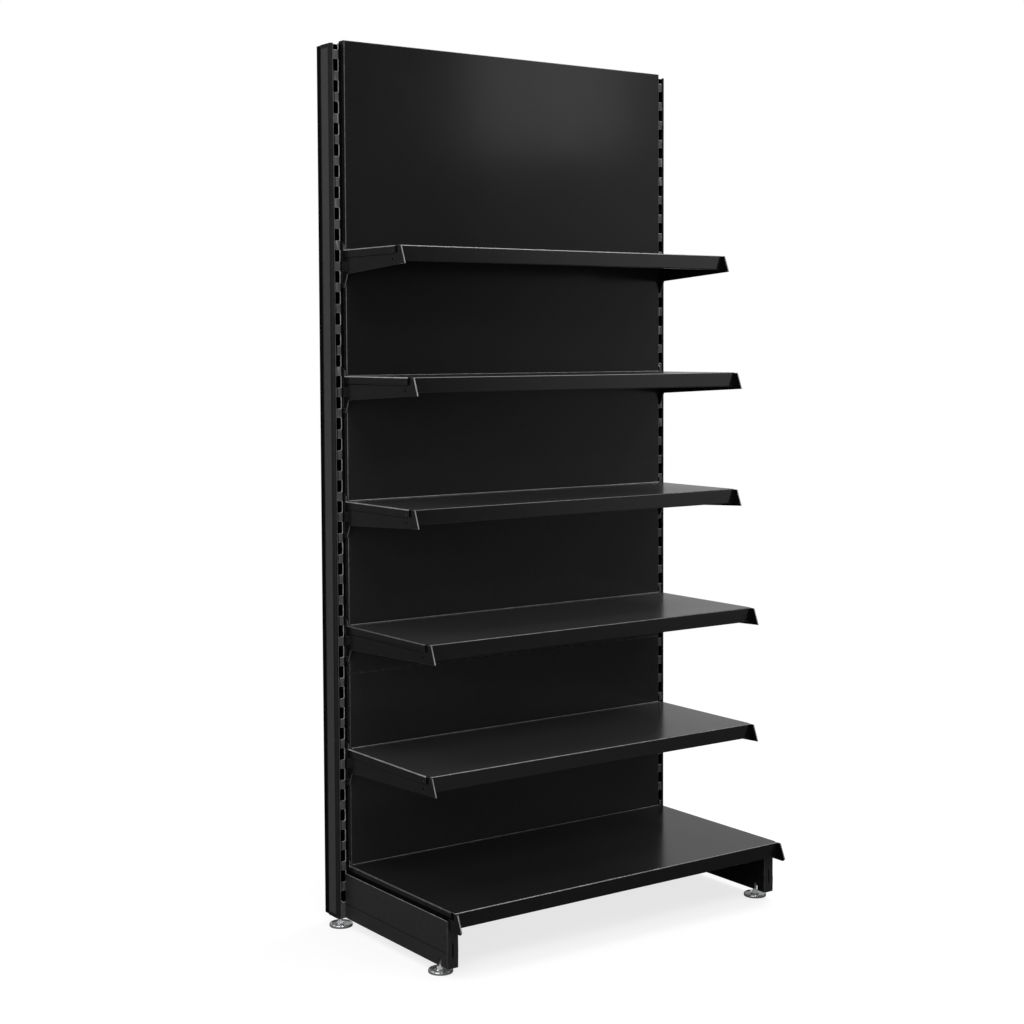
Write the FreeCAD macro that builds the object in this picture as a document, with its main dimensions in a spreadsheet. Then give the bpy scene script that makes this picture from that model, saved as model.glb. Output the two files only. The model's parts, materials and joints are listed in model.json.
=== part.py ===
import FreeCAD, Part
import math
import os
import Sketcher

# A free-standing wall bay of steel shop shelving: two slotted uprights, back panels between them,
# five trays on hooked brackets, a deeper base tray over two legs, and four screw feet.
# X runs along the bay, -Y is the front and +Z is up; the floor is at zero.

driving = [
    ("bay_pitch", 1000, "between the centres of the two uprights"),
    ("ground_clearance", 22, "floor to the bottom of the uprights and legs"),
    ("seat_gap", 0.3, "between pieces that lie against each other"),
    ("upright_width", 30, "upright across its face"),
    ("upright_depth", 70, "upright from front to back"),
    ("upright_height", 2105, "length of an upright"),
    ("upright_wall", 2, "wall of an upright"),
    ("upright_corner", 6, "round of the outer front corner"),
    ("upright_step", 3, "how far the rear part of an upright is set in on each side"),
    ("upright_rear", 22, "depth of the set-in rear part"),
    ("slot_pitch", 50, "from slot to slot"),
    ("slot_width", 12, "slot across"),
    ("slot_height", 28, "slot and notch height"),
    ("slot_round", 3, "corner round of a slot"),
    ("first_slot", 40, "bottom of the upright to the floor of the lowest slot"),
    ("cut_margin", 1, "how far a cut runs past the wall it opens"),
    ("hook_clearance", 0.5, "hook to the walls beside it"),
    ("hook_thickness", 3, "hook behind the upright's wall"),
    ("hook_lip", 8, "how far a hook drops behind the wall"),
    ("hook_neck", 16, "height of a hook where it passes the wall"),
    ("panel_front", 12, "panel face ahead of the upright's face"),
    ("panel_depth", 25, "depth of a panel's folded edge"),
    ("panel_sheet", 1, "panel sheet"),
    ("panel_gap", 0.5, "panel to upright, and panel to panel"),
    ("panel_bottom", 136, "floor to the lowest panel edge"),
    ("panel_lower_joint", 622, "floor to the lower joint between panels"),
    ("panel_upper_joint", 1322, "floor to the upper joint between panels"),
    ("panel_top", 2134, "floor to the top of the panels"),
    ("lowest_shelf_slot", 7, "slot that the lowest upper shelf hangs in"),
    ("shelf_step", 6, "slots from shelf to shelf"),
    ("top_depth", 270, "depth of the top shelf"),
    ("middle_depth", 320, "depth of the second and third shelves"),
    ("lower_depth", 385, "depth of the fourth and fifth shelves"),
    ("base_depth", 485, "depth of the base shelf"),
    ("base_top", 154, "floor to the top of the base tray"),
    ("base_slot", 1, "slot that the base brackets hang in"),
    ("leg_slot", 0, "slot that the legs hang in"),
    ("tray_sheet", 1.2, "tray sheet"),
    ("tray_bend", 2.4, "outer round of a tray's front bends"),
    ("flange_height", 20, "side and rear flange of an upper tray"),
    ("base_flange_height", 13, "side and rear flange of the base tray"),
    ("flange_hole", 4.5, "hole in a side flange"),
    ("flange_hole_back", 8, "hole behind the front end of its flange"),
    ("flange_hole_drop", 12, "hole below the tray's top"),
    ("lip_height", 36, "front lip"),
    ("lip_return", 14, "fold under the front lip"),
    ("lip_setback", 9, "lip behind the top front corner of a bracket"),
    ("bracket_plate", 3, "bracket plate"),
    ("ear_height", 18, "bracket above the tray at the panel"),
    ("ear_slope", 6, "slope at the top of the ear"),
    ("front_drop", 42, "bracket below the tray's top at the front"),
    ("rear_drop", 58, "bracket below the tray's top at the back"),
    ("front_lean", 16, "how far the bottom of the front edge leans out"),
    ("flange_stop", 23.3, "end of a tray's flange behind the top front corner of a bracket"),
    ("tail_margin", 11, "tail below the lower hook's seat"),
    ("tail_width", 14, "tail at its bottom"),
    ("tail_root", 28, "tail at the bracket's underside"),
    ("bracket_hole", 5, "hole in a bracket"),
    ("bracket_hole_back", 36, "hole behind the top front corner"),
    ("bracket_hole_drop", 31, "hole below the tray's top"),
    ("base_drop", 44, "base bracket below the tray's top"),
    ("base_round", 6, "cut corner at the bottom of a base bracket's front edge"),
    ("leg_length", 452, "leg from the upright's face to its front"),
    ("leg_height", 110, "leg"),
    ("leg_width", 30, "leg across"),
    ("leg_sheet", 2, "leg sheet"),
    ("leg_overhang", 5, "leg outside the bracket plate"),
    ("leg_crease", 36, "bottom of the leg to the crease along its sides"),
    ("crease_width", 1.2, "crease"),
    ("crease_depth", 0.6, "crease"),
    ("leg_slot_width", 4, "slots in the leg's front face"),
    ("leg_slot_height", 35, "closed slot in the leg's front face"),
    ("leg_slot_bottom", 22, "bottom of the leg to the closed slot"),
    ("leg_hole", 4, "hole through the sides of a leg"),
    ("leg_hole_back", 11, "that hole behind the leg's front"),
    ("leg_hole_level", 70, "bottom of the leg to that hole"),
    ("leg_window_width", 12, "window with a round top in a leg's sides, near the front foot"),
    ("leg_window_lead", 19, "that window ahead of the front foot"),
    ("leg_window_height", 18, "bottom of the leg to the top of that window"),
    ("leg_end_height", 62, "plate that closes a leg at the back"),
    ("leg_end_bottom", 14, "bottom of the leg to that plate"),
    ("plate_thickness", 3, "leg end, leg bridge and upright base plate"),
    ("bridge_length", 60, "leg bridge along the leg"),
    ("front_foot", 51, "leg's front to the front foot"),
    ("rear_foot", 14, "upright's face to the rear foot"),
    ("foot_diameter", 57, "foot disc"),
    ("foot_thickness", 8, "foot disc"),
    ("foot_bevel", 2.5, "round of a foot disc's upper rim"),
    ("collar_flats", 15, "hexagon of a stud across its flats"),
    ("collar_height", 6, "hexagon of a stud"),
    ("stud_diameter", 10, "stud"),
    ("stud_length", 48, "stud above its hexagon"),
    ("stud_clearance", 0.3, "stud to the bore round it"),
    ("nut_flats", 17, "foot nut across its flats"),
    ("nut_height", 8, "foot nut"),
]

doc = FreeCAD.newDocument("shelving_bay")
sheet = doc.addObject("Spreadsheet::Sheet", "sizes")
for row, (alias, value, note) in enumerate(driving, start=1):
    sheet.set(f"A{row}", alias)
    sheet.set(f"B{row}", str(value))
    sheet.set(f"C{row}", note)
    sheet.setAlias(f"B{row}", alias)
doc.recompute()

# Places that several pieces share, as expressions of the driving sizes
half_pitch = "(sizes.bay_pitch / 2)"
upright_inner = f"({half_pitch} - sizes.upright_width / 2)"
upright_front = "((sizes.base_depth + sizes.front_lean - sizes.upright_depth) / 2)"
plate_inner = f"({upright_inner} + sizes.upright_wall + sizes.hook_clearance)"
plate_outer = f"({plate_inner} + sizes.bracket_plate)"
tray_half = f"({plate_outer} + sizes.seat_gap + sizes.tray_sheet)"
lip_half = f"({plate_inner} - sizes.seat_gap)"
panel_half = f"({upright_inner} - sizes.panel_gap)"
tray_back = "(sizes.panel_front + sizes.seat_gap)"
leg_outer = f"({plate_outer} + sizes.leg_overhang)"
leg_inner = f"({leg_outer} - sizes.leg_width)"
leg_middle = f"({leg_outer} - sizes.leg_width / 2)"
leg_top = "(sizes.ground_clearance + sizes.leg_height)"
bridge_level = "(sizes.ground_clearance + sizes.leg_window_height)"
front_foot = "(sizes.leg_length - sizes.front_foot)"
stud_bore = "(sizes.stud_diameter + 2 * sizes.stud_clearance)"
hook_near = "(sizes.upright_wall + sizes.seat_gap)"
hook_far = f"({hook_near} + sizes.hook_thickness)"
tray_seat = "(0 - sizes.tray_sheet)"
corner_flats = 1 / math.cos(math.pi / 6)

hands = {"left": -1, "right": 1}


def number(expression):
    return float(sheet.evalExpression(expression.replace("sizes.", "")))


def slot_floor(slot):
    return f"(sizes.ground_clearance + sizes.first_slot + sizes.slot_pitch * ({slot}))"


def forward(distance, size="0"):
    # Y of something a distance ahead of the uprights' faces, for a piece that starts there and runs back
    return f"({upright_front} - ({distance}) - ({size}))"


def from_side(side, near, far):
    # X where a piece between two distances from the middle starts, on the left or on the right
    if hands[side] < 0:
        return f"(0 - ({far}))"
    return f"({near})"


def box(name, start, size):
    block = doc.addObject("Part::Box", name)
    for axis, place in zip("xyz", start):
        block.setExpression(f"Placement.Base.{axis}", place)
    for edge, length in zip(("Length", "Width", "Height"), size):
        block.setExpression(edge, length)
    return block


def rod(name, start, diameter, length, turn=None):
    # A round bar that stands up from its start, or lies along +X
    bar = doc.addObject("Part::Cylinder", name)
    if turn == "x":
        bar.Placement = FreeCAD.Placement(FreeCAD.Vector(), FreeCAD.Rotation(FreeCAD.Vector(0, 1, 0), 90))
    for axis, place in zip("xyz", start):
        bar.setExpression(f"Placement.Base.{axis}", place)
    bar.setExpression("Radius", f"({diameter}) / 2")
    bar.setExpression("Height", length)
    return bar


def hexagon(name, start, flats, length):
    bar = doc.addObject("Part::Prism", name)
    bar.Polygon = 6
    for axis, place in zip("xyz", start):
        bar.setExpression(f"Placement.Base.{axis}", place)
    bar.setExpression("Circumradius", f"({flats}) / 2 * {corner_flats}")
    bar.setExpression("Height", length)
    return bar


def fuse(name, pieces):
    joined = doc.addObject("Part::MultiFuse", name)
    joined.Shapes = pieces
    joined.Refine = True
    return joined


def cut(name, base, tools):
    left = doc.addObject("Part::Cut", name)
    left.Base = base
    left.Tool = tools[0] if len(tools) == 1 else fuse(f"{name}_tools", tools)
    left.Refine = True
    return left


def plane_of(body, role):
    for feature in body.Origin.OriginFeatures:
        if feature.Role == role:
            return feature
    raise ValueError(role)


def sketch_on(body, name, role):
    sketch = body.newObject("Sketcher::SketchObject", name)
    sketch.AttachmentSupport = [(plane_of(body, role), "")]
    sketch.MapMode = "FlatFace"
    return sketch


def pin_point(sketch, line, place):
    # Holds the start of a line at a place measured from the sketch's origin
    for kind, axis, expression in (("DistanceX", -2, place[0]), ("DistanceY", -1, place[1])):
        value = number(expression)
        if abs(value) < 1e-9:
            sketch.addConstraint(Sketcher.Constraint("PointOnObject", line, 1, axis))
            continue
        index = sketch.addConstraint(Sketcher.Constraint(kind, -1, 1, line, 1, value))
        sketch.setExpression(f"Constraints[{index}]", expression)


def outline(sketch, places):
    # A closed loop of straight lines through places, each a pair of expressions that are zero or more
    points = [FreeCAD.Vector(number(x), number(y), 0) for x, y in places]
    first = sketch.GeometryCount
    count = len(points)
    for index, point in enumerate(points):
        sketch.addGeometry(Part.LineSegment(point, points[(index + 1) % count]), False)
    for index in range(count):
        following = first + (index + 1) % count
        sketch.addConstraint(Sketcher.Constraint("Coincident", first + index, 2, following, 1))
    for index, place in enumerate(places):
        pin_point(sketch, first + index, place)


def circle(sketch, place, diameter):
    centre = FreeCAD.Vector(number(place[0]), number(place[1]), 0)
    ring = sketch.addGeometry(Part.Circle(centre, FreeCAD.Vector(0, 0, 1), number(diameter) / 2), False)
    for kind, expression in (("DistanceX", place[0]), ("DistanceY", place[1])):
        index = sketch.addConstraint(Sketcher.Constraint(kind, -1, 1, ring, 3, number(expression)))
        sketch.setExpression(f"Constraints[{index}]", expression)
    index = sketch.addConstraint(Sketcher.Constraint("Diameter", ring, number(diameter)))
    sketch.setExpression(f"Constraints[{index}]", diameter)


def rectangle(x_start, y_start, x_size, y_size):
    x_end = f"({x_start}) + ({x_size})"
    y_end = f"({y_start}) + ({y_size})"
    return [(x_start, y_start), (x_end, y_start), (x_end, y_end), (x_start, y_end)]


def edges_where(shape, test):
    return [index for index, edge in enumerate(shape.Edges, start=1) if test(edge)]


def along(edge, axis):
    box_of_edge = edge.BoundBox
    spans = {"x": box_of_edge.XLength, "y": box_of_edge.YLength, "z": box_of_edge.ZLength}
    return all(spans[other] < 1e-6 for other in spans if other != axis)


def rounded(name, base, edges, radius):
    doc.recompute()
    smooth = doc.addObject("Part::Fillet", name)
    smooth.Base = base
    smooth.Edges = [(index, radius, radius) for index in edges]
    return smooth


def upright(side):
    # A stepped tube; the slots run up its face and the hook notches up its inner front edge
    width = "sizes.upright_width"
    depth = "sizes.upright_depth"
    wall = "sizes.upright_wall"
    step = "sizes.upright_step"
    shoulder = "(sizes.upright_depth - sizes.upright_rear)"
    body = doc.addObject("PartDesign::Body", f"upright_{side}")
    section = sketch_on(body, f"upright_section_{side}", "XY_Plane")
    outline(section, [
        ("0", "0"), (width, "0"), (width, shoulder), (f"{width} - {step}", shoulder),
        (f"{width} - {step}", depth), (step, depth), (step, shoulder), ("0", shoulder)])
    inner = f"{width} - {wall}"
    inner_step = f"{width} - {step} - {wall}"
    inner_shoulder = f"{shoulder} - {wall}"
    outline(section, [
        (wall, wall), (inner, wall), (inner, inner_shoulder), (inner_step, inner_shoulder),
        (inner_step, f"{depth} - {wall}"), (f"{step} + {wall}", f"{depth} - {wall}"),
        (f"{step} + {wall}", inner_shoulder), (wall, inner_shoulder)])
    tube = body.newObject("PartDesign::Pad", f"upright_tube_{side}")
    tube.Profile = section
    tube.setExpression("Length", "sizes.upright_height")
    doc.recompute()

    outer_x = 0.0 if side == "left" else number(width)
    inner_x = number(wall) if side == "left" else number(inner)

    def at_corner(x, y):
        def test(edge):
            spot = edge.BoundBox.Center
            return along(edge, "z") and abs(spot.x - x) < 1e-6 and abs(spot.y - y) < 1e-6
        return test

    outer_round = body.newObject("PartDesign::Fillet", f"upright_corner_{side}")
    outer_round.Base = (tube, [f"Edge{index}" for index in edges_where(tube.Shape, at_corner(outer_x, 0))])
    outer_round.setExpression("Radius", "sizes.upright_corner")
    doc.recompute()
    inner_edges = edges_where(outer_round.Shape, at_corner(inner_x, number(wall)))
    inner_round = body.newObject("PartDesign::Fillet", f"upright_inner_corner_{side}")
    inner_round.Base = (outer_round, [f"Edge{index}" for index in inner_edges])
    inner_round.setExpression("Radius", "sizes.upright_corner - sizes.upright_wall")
    doc.recompute()

    slot_sketch = sketch_on(body, f"slot_outline_{side}", "XZ_Plane")
    slot_start = f"({width} - sizes.slot_width) / 2"
    round_slot(slot_sketch, slot_start, "sizes.first_slot", "sizes.slot_width", "sizes.slot_height",
               "sizes.slot_round")
    notch_sketch = sketch_on(body, f"notch_outline_{side}", "XZ_Plane")
    notch_width = "(sizes.upright_wall + 2 * sizes.hook_clearance + sizes.bracket_plate)"
    notch_start = f"{width} - {notch_width}" if side == "left" else "0"
    outline(notch_sketch, rectangle(notch_start, "sizes.first_slot", notch_width, "sizes.slot_height"))
    holes = []
    for name, sketch in (("slot", slot_sketch), ("notch", notch_sketch)):
        hole = body.newObject("PartDesign::Pocket", f"{name}_{side}")
        hole.Profile = sketch
        hole.setExpression("Length", "sizes.upright_wall + sizes.cut_margin")
        before = body.Shape.Volume
        doc.recompute()
        if hole.Shape.Volume > before - 1:
            hole.Reversed = True
            doc.recompute()
        holes.append(hole)
    column = body.newObject("PartDesign::LinearPattern", f"slot_column_{side}")
    column.Originals = holes
    column.Direction = (plane_of(body, "Z_Axis"), [""])
    slot_count = "(floor((sizes.upright_height - sizes.first_slot) / sizes.slot_pitch) + 1)"
    column.setExpression("Length", f"sizes.slot_pitch * ({slot_count} - 1)")
    column.setExpression("Occurrences", slot_count)
    body.Tip = column
    centre = f"({half_pitch} * {hands[side]})"
    body.setExpression("Placement.Base.x", f"{centre} - sizes.upright_width / 2")
    body.setExpression("Placement.Base.y", upright_front)
    body.setExpression("Placement.Base.z", "sizes.ground_clearance")
    return body


def round_slot(sketch, x_start, y_start, x_size, y_size, radius):
    # A rectangle with round corners: four lines, and an arc after each of them
    x_low = number(x_start)
    y_low = number(y_start)
    x_high = x_low + number(x_size)
    y_high = y_low + number(y_size)
    bend = number(radius)
    quarter = math.pi / 2
    corners = [(x_high - bend, y_low + bend), (x_high - bend, y_high - bend),
               (x_low + bend, y_high - bend), (x_low + bend, y_low + bend)]
    runs = [((x_low + bend, y_low), (x_high - bend, y_low)), ((x_high, y_low + bend), (x_high, y_high - bend)),
            ((x_high - bend, y_high), (x_low + bend, y_high)), ((x_low, y_high - bend), (x_low, y_low + bend))]
    for (start, end), (centre_x, centre_y), turn in zip(runs, corners, range(-1, 3)):
        sketch.addGeometry(Part.LineSegment(FreeCAD.Vector(*start, 0), FreeCAD.Vector(*end, 0)), False)
        ring = Part.Circle(FreeCAD.Vector(centre_x, centre_y, 0), FreeCAD.Vector(0, 0, 1), bend)
        sketch.addGeometry(Part.ArcOfCircle(ring, turn * quarter, (turn + 1) * quarter), False)
    for corner in range(4):
        line = corner * 2
        sketch.addConstraint(Sketcher.Constraint("Tangent", line, 2, line + 1, 1))
        sketch.addConstraint(Sketcher.Constraint("Tangent", line + 1, 2, (line + 2) % 8, 1))
        if corner:
            sketch.addConstraint(Sketcher.Constraint("Equal", 1, line + 1))
    sketch.addConstraint(Sketcher.Constraint("Horizontal", 0))
    sketch.addConstraint(Sketcher.Constraint("Vertical", 2))
    bound = [
        (Sketcher.Constraint("Radius", 1, bend), radius),
        (Sketcher.Constraint("DistanceX", 6, 1, 2, 1, x_high - x_low), x_size),
        (Sketcher.Constraint("DistanceY", 0, 1, 4, 1, y_high - y_low), y_size),
        (Sketcher.Constraint("DistanceX", -1, 1, 6, 1, x_low), x_start),
        (Sketcher.Constraint("DistanceY", -1, 1, 0, 1, y_low), y_start),
    ]
    for constraint, expression in bound:
        index = sketch.addConstraint(constraint)
        sketch.setExpression(f"Constraints[{index}]", expression)


def panel(name, bottom, top):
    # A shallow pan, open at the back
    deep = "sizes.panel_depth"
    thin = "sizes.panel_sheet"
    tall = f"(({top}) - ({bottom}))"
    wide = f"(2 * {panel_half})"
    left = f"(0 - {panel_half})"
    front = forward("sizes.panel_front")
    pieces = [
        box(f"{name}_face", (left, front, bottom), (wide, thin, tall)),
        box(f"{name}_left_fold", (left, front, bottom), (thin, deep, tall)),
        box(f"{name}_right_fold", (f"{panel_half} - {thin}", front, bottom), (thin, deep, tall)),
        box(f"{name}_bottom_fold", (left, front, bottom), (wide, deep, thin)),
        box(f"{name}_top_fold", (left, front, f"({top}) - {thin}"), (wide, deep, thin)),
    ]
    return fuse(name, pieces)


def hook_places(floor):
    # A hook that sits on a slot's floor, as distances ahead of the upright's face and heights
    return [
        ("sizes.seat_gap", floor),
        (f"(0 - {hook_near})", floor),
        (f"(0 - {hook_near})", f"{floor} - sizes.hook_lip"),
        (f"(0 - {hook_far})", f"{floor} - sizes.hook_lip"),
        (f"(0 - {hook_far})", f"{floor} + sizes.hook_neck"),
        ("sizes.seat_gap", f"{floor} + sizes.hook_neck"),
    ]


def flat_bracket(name, side, depth, level, places, lowest):
    # A plate cut to an outline of distances ahead of the upright's face and heights below the tray's top
    front = f"({depth} + sizes.front_lean)"

    def on_plate(place):
        return f"{front} - ({place[0]})", f"({place[1]}) - ({lowest})"

    body = doc.addObject("PartDesign::Body", name)
    sketch = sketch_on(body, f"{name}_outline", "YZ_Plane")
    outline(sketch, [on_plate(place) for place in places])
    hole = on_plate((f"{depth} - sizes.bracket_hole_back", "0 - sizes.bracket_hole_drop"))
    circle(sketch, hole, "sizes.bracket_hole")
    plate = body.newObject("PartDesign::Pad", f"{name}_plate")
    plate.Profile = sketch
    plate.setExpression("Length", "sizes.bracket_plate")
    body.setExpression("Placement.Base.x", from_side(side, plate_inner, plate_outer))
    body.setExpression("Placement.Base.y", forward(front))
    body.setExpression("Placement.Base.z", f"({level}) + ({lowest})")
    return body


def bracket_ear():
    # The ear beside the panel, down to the tray's seat
    return [
        ("sizes.seat_gap", "sizes.ear_height"),
        ("sizes.panel_front - sizes.ear_slope", "sizes.ear_height"),
        ("sizes.panel_front", "sizes.ear_height - sizes.ear_slope"),
        ("sizes.panel_front", tray_seat),
    ]


def shelf_bracket(name, side, depth, level):
    lower_seat = "(0 - sizes.slot_height - sizes.slot_pitch)"
    lowest = f"({lower_seat} - sizes.tail_margin)"
    places = bracket_ear() + [
        (depth, tray_seat),
        (f"{depth} + sizes.front_lean", "0 - sizes.front_drop"),
        ("sizes.tail_root", "0 - sizes.rear_drop"),
        ("sizes.tail_width", lowest),
        ("sizes.seat_gap", lowest),
    ] + hook_places(lower_seat) + hook_places("(0 - sizes.slot_height)")
    return flat_bracket(name, side, depth, level, places, lowest)


def base_bracket(name, side):
    depth = "sizes.base_depth"
    level = "sizes.base_top"
    lowest = "(0 - sizes.base_drop)"
    front_low = "sizes.base_round - sizes.base_drop"
    places = bracket_ear() + [
        (depth, tray_seat),
        (f"{depth} + sizes.front_lean", front_low),
        (f"{depth} + sizes.front_lean - sizes.base_round", lowest),
        ("sizes.seat_gap", lowest),
    ] + hook_places(f"({slot_floor('sizes.base_slot')} - {level})")
    return flat_bracket(name, side, depth, level, places, lowest)


def tray(name, depth, level, flange):
    # A folded sheet: its flanges hang outside the brackets and its lip stands between them
    thin = "sizes.tray_sheet"
    top = f"(({level}) - {thin})"
    wide = f"(2 * {tray_half})"
    narrow = f"(2 * {lip_half})"
    wide_left = f"(0 - {tray_half})"
    narrow_left = f"(0 - {lip_half})"
    side_end = f"({depth} - sizes.flange_stop)"
    side_run = f"({side_end} - {tray_back})"
    face = f"({depth} - sizes.lip_setback)"
    lip_bottom = f"(({level}) - sizes.lip_height)"
    flange_bottom = f"(({level}) - {flange})"
    pieces = [
        box(f"{name}_deck", (wide_left, forward(side_end), top), (wide, side_run, thin)),
        box(f"{name}_nose", (narrow_left, forward(face), top), (narrow, f"({face} - {tray_back})", thin)),
        box(f"{name}_lip", (narrow_left, forward(face), lip_bottom), (narrow, thin, "sizes.lip_height")),
        box(f"{name}_fold", (narrow_left, forward(face), lip_bottom), (narrow, "sizes.lip_return", thin)),
        box(f"{name}_rear", (narrow_left, forward(tray_back, thin), flange_bottom), (narrow, thin, flange)),
    ]
    for side in hands:
        corner = (from_side(side, f"{tray_half} - {thin}", tray_half), forward(side_end), flange_bottom)
        pieces.append(box(f"{name}_{side}_flange", corner, (thin, side_run, flange)))
    folded = fuse(f"{name}_folded", pieces)
    if flange == "sizes.flange_height":
        hole_start = (wide_left, forward(f"{side_end} - sizes.flange_hole_back"),
                      f"({level}) - sizes.flange_hole_drop")
        holes = rod(f"{name}_holes", hole_start, "sizes.flange_hole", wide, turn="x")
        folded = cut(f"{name}_pierced", folded, [holes])
    doc.recompute()
    front = number(forward(face))
    heights = (number(f"{level}"), number(lip_bottom))

    def at_bend(edge):
        spot = edge.BoundBox.Center
        on_face = abs(spot.y - front) < 1e-6
        return along(edge, "x") and on_face and min(abs(spot.z - height) for height in heights) < 1e-6

    return rounded(name, folded, edges_where(folded.Shape, at_bend), number("sizes.tray_bend"))


def leg(side):
    # A channel folded from one sheet, open at the top, with a slotted front face
    name = f"leg_{side}"
    thin = "sizes.leg_sheet"
    low = "sizes.ground_clearance"
    tall = "sizes.leg_height"
    length = "(sizes.leg_length - sizes.seat_gap)"
    front = forward("sizes.leg_length")
    start = from_side(side, leg_inner, leg_outer)
    far = f"({start} + sizes.leg_width - {thin})"
    shell = fuse(f"{name}_folded", [
        box(f"{name}_near_side", (start, front, low), (thin, length, tall)),
        box(f"{name}_far_side", (far, front, low), (thin, length, tall)),
        box(f"{name}_face", (start, front, low), ("sizes.leg_width", thin, tall)),
    ])
    margin = "sizes.cut_margin"
    past = f"({thin} + 2 * {margin})"
    slot_wide = "sizes.leg_slot_width"
    through_front = forward("sizes.leg_length", margin)
    middle = from_side(side, f"{leg_middle} - {slot_wide} / 2", f"{leg_middle} + {slot_wide} / 2")
    bracket_middle = f"({plate_inner} + sizes.bracket_plate / 2)"
    passing = from_side(side, f"{bracket_middle} - {slot_wide} / 2", f"{bracket_middle} + {slot_wide} / 2")
    passing_bottom = "(sizes.base_top - sizes.base_drop - sizes.cut_margin)"
    window_wide = "sizes.leg_window_width"
    window_middle = f"({front_foot} + sizes.leg_window_lead)"
    window_start = forward(window_middle, f"{window_wide} / 2")
    window_straight = f"(sizes.leg_window_height - {window_wide} / 2)"
    crease_level = f"{low} + sizes.leg_crease - sizes.crease_width / 2"
    across = "(sizes.leg_width + 2 * sizes.cut_margin)"
    deep = "sizes.crease_depth"
    tools = [
        box(f"{name}_slot", (middle, through_front, f"{low} + sizes.leg_slot_bottom"),
            (slot_wide, past, "sizes.leg_slot_height")),
        box(f"{name}_passing", (passing, through_front, passing_bottom),
            (slot_wide, past, f"{leg_top} - {passing_bottom} + {margin}")),
        box(f"{name}_window", (f"{start} - {margin}", window_start, f"{low} - {margin}"),
            (across, window_wide, f"{window_straight} + {margin}")),
        rod(f"{name}_window_top", (f"{start} - {margin}", forward(window_middle), f"{low} + {window_straight}"),
            window_wide, across, turn="x"),
        rod(f"{name}_hole", (f"{start} - {margin}", forward("sizes.leg_length - sizes.leg_hole_back"),
                             f"{low} + sizes.leg_hole_level"), "sizes.leg_hole", across, turn="x"),
        box(f"{name}_near_crease", (f"{start} - {deep}", f"{front} - {margin}", crease_level),
            (f"2 * {deep}", f"{length} + 2 * {margin}", "sizes.crease_width")),
        box(f"{name}_far_crease", (f"{start} + sizes.leg_width - {deep}", f"{front} - {margin}", crease_level),
            (f"2 * {deep}", f"{length} + 2 * {margin}", "sizes.crease_width")),
    ]
    return cut(name, shell, tools)


def leg_end(side):
    # The plate at the back of a leg, with a hook in line with the bracket plates
    name = f"leg_end_{side}"
    thin = "sizes.leg_sheet"
    inside = f"(sizes.leg_width - 2 * {thin})"
    start = from_side(side, f"{leg_inner} + {thin}", f"{leg_outer} - {thin}")
    low = "sizes.ground_clearance + sizes.leg_end_bottom"
    thick = "sizes.plate_thickness"
    hook_start = from_side(side, plate_inner, plate_outer)
    wide = "sizes.bracket_plate"
    floor = slot_floor("sizes.leg_slot")
    neck_run = f"({hook_far} + sizes.seat_gap)"
    lip_start = f"({upright_front} + {hook_near})"
    return fuse(name, [
        box(f"{name}_plate", (start, forward("sizes.seat_gap", thick), low),
            (inside, thick, "sizes.leg_end_height")),
        box(f"{name}_neck", (hook_start, forward("sizes.seat_gap"), floor), (wide, neck_run, "sizes.hook_neck")),
        box(f"{name}_lip", (hook_start, lip_start, f"{floor} - sizes.hook_lip"),
            (wide, "sizes.hook_thickness", "sizes.hook_lip + sizes.hook_neck")),
    ])


def bored_plate(name, start, size, centre):
    plate = box(f"{name}_blank", start, size)
    bore = rod(f"{name}_bore", (*centre, start[2]), stud_bore, size[2])
    return cut(name, plate, [bore])


def leg_bridge(side):
    thin = "sizes.leg_sheet"
    start = from_side(side, f"{leg_inner} + {thin}", f"{leg_outer} - {thin}")
    place = (start, forward(front_foot, "sizes.bridge_length / 2"), bridge_level)
    size = (f"(sizes.leg_width - 2 * {thin})", "sizes.bridge_length", "sizes.plate_thickness")
    return bored_plate(f"leg_bridge_{side}", place, size, foot_centre(side, "front"))


def upright_base(side):
    wall = "sizes.upright_wall"
    start = f"{half_pitch} * {hands[side]} - sizes.upright_width / 2 + sizes.upright_step + {wall}"
    wide = f"(sizes.upright_width - 2 * (sizes.upright_step + {wall}))"
    deep = f"(sizes.upright_depth - 2 * {wall} - 2 * sizes.seat_gap)"
    place = (start, f"{upright_front} + {wall} + sizes.seat_gap", "sizes.ground_clearance")
    size = (wide, deep, "sizes.plate_thickness")
    return bored_plate(f"upright_base_{side}", place, size, foot_centre(side, "rear"))


def foot_centre(side, end):
    if end == "front":
        return f"({leg_middle} * {hands[side]})", forward(front_foot)
    return f"({half_pitch} * {hands[side]})", forward("0 - sizes.rear_foot")


def foot_nut(name, side, end):
    level = f"{bridge_level} + sizes.plate_thickness"
    if end == "rear":
        level = "sizes.ground_clearance + sizes.plate_thickness"
    centre = (*foot_centre(side, end), level)
    blank = hexagon(f"{name}_blank", centre, "sizes.nut_flats", "sizes.nut_height")
    bore = rod(f"{name}_bore", centre, stud_bore, "sizes.nut_height")
    return cut(name, blank, [bore])


def foot_disc(name, side, end):
    blank = rod(f"{name}_blank", (*foot_centre(side, end), "0"), "sizes.foot_diameter", "sizes.foot_thickness")
    doc.recompute()
    top = number("sizes.foot_thickness")
    rim = edges_where(blank.Shape, lambda edge: abs(edge.BoundBox.Center.z - top) < 1e-6)
    return rounded(name, blank, rim, number("sizes.foot_bevel"))


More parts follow.
